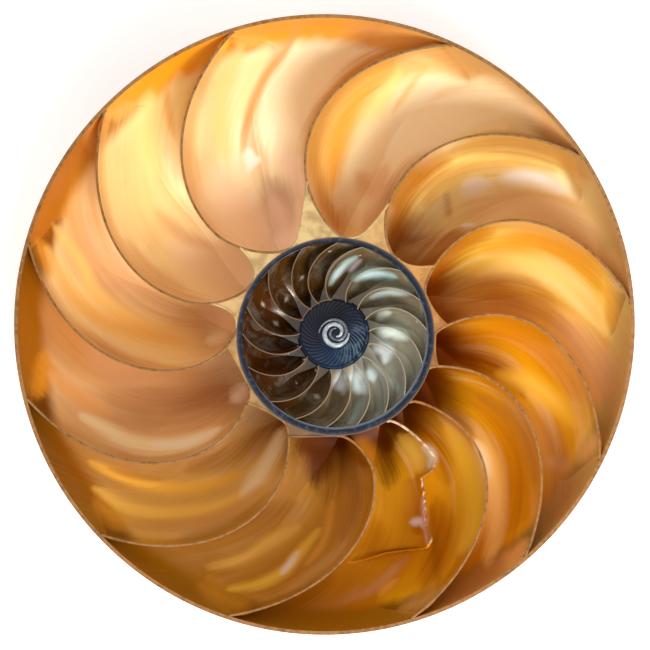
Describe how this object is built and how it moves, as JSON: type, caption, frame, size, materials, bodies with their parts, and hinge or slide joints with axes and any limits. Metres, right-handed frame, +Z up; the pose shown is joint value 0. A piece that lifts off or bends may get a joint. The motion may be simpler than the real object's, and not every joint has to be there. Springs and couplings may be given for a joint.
{
  "type": "nautilus shell half",
  "caption": "Half of a chambered spiral seashell, sawn flat through the coil to show its curved septa, lying on its domed back.",
  "frame": {"origin": "under the middle of the round outline, on the surface that the domed back rests on", "axes": "+Z up, out of the sawn face; +X to the right and +Y to the top of the view straight down on the sawn face"},
  "size_m": [0.15, 0.15, 0.033],
  "materials": {
    "nacre": "polished mother of pearl, golden, with a satin sawn edge"
  },
  "bodies": {
    "root": {"shell_half": "nacre"}
  },
  "joints": []
}
